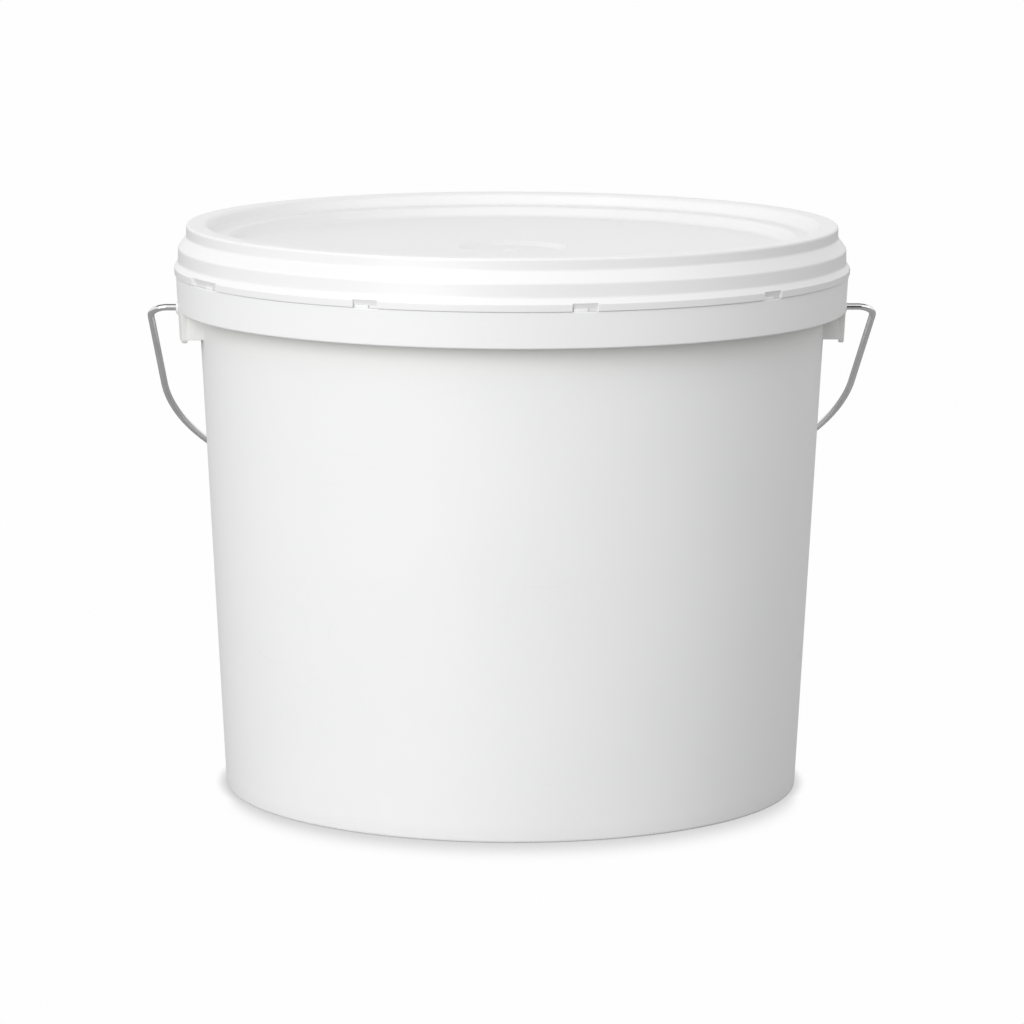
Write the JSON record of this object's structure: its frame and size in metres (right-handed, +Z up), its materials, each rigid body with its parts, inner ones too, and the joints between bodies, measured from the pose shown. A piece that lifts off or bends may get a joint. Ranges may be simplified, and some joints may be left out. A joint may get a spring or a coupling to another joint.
{
  "type": "plastic tub with lid",
  "caption": "Round tapered plastic tub of waterproofing coating with a stepped press-on lid, a deep collar, side ears and a hanging wire bail with a turning grip.",
  "frame": {"origin": "centre of the ground the tub stands on, under the middle of the bounding box", "axes": "+Z up along the tub's axis, +X through the ear on the right as seen from the front, -Y towards the front"},
  "size_m": [0.3048, 0.28, 0.2355],
  "materials": {
    "body_plastic": "satin white moulding",
    "lid_plastic": "satin white moulding",
    "gasket_rubber": "soft sealing ring",
    "coating": "thick grey coating, standing smooth",
    "wire_steel": "bright zinc-coated wire",
    "grip_plastic": "plain white moulding"
  },
  "bodies": {
    "tub": {"tub_body": "body_plastic", "coating_fill": "coating"},
    "lid": {"lid": "lid_plastic", "lid_gasket": "gasket_rubber"},
    "bail": {"bail_wire": "wire_steel"},
    "grip": {"bail_grip": "grip_plastic"}
  },
  "joints": [
    {"name": "lid_lift", "type": "slide", "parent": "tub", "child": "lid", "axis": [0, 0, 1], "range_m": [0, 0.12]},
    {"name": "bail_swing", "type": "hinge", "parent": "tub", "child": "bail", "pos_m": [0, 0, 0.2004], "axis": [1, 0, 0], "range_deg": [0, 253]},
    {"name": "grip_spin", "type": "hinge", "parent": "bail", "child": "grip", "pos_m": [0, 0.13226, 0.10116], "axis": [1, 0, 0], "continuous": true}
  ]
}
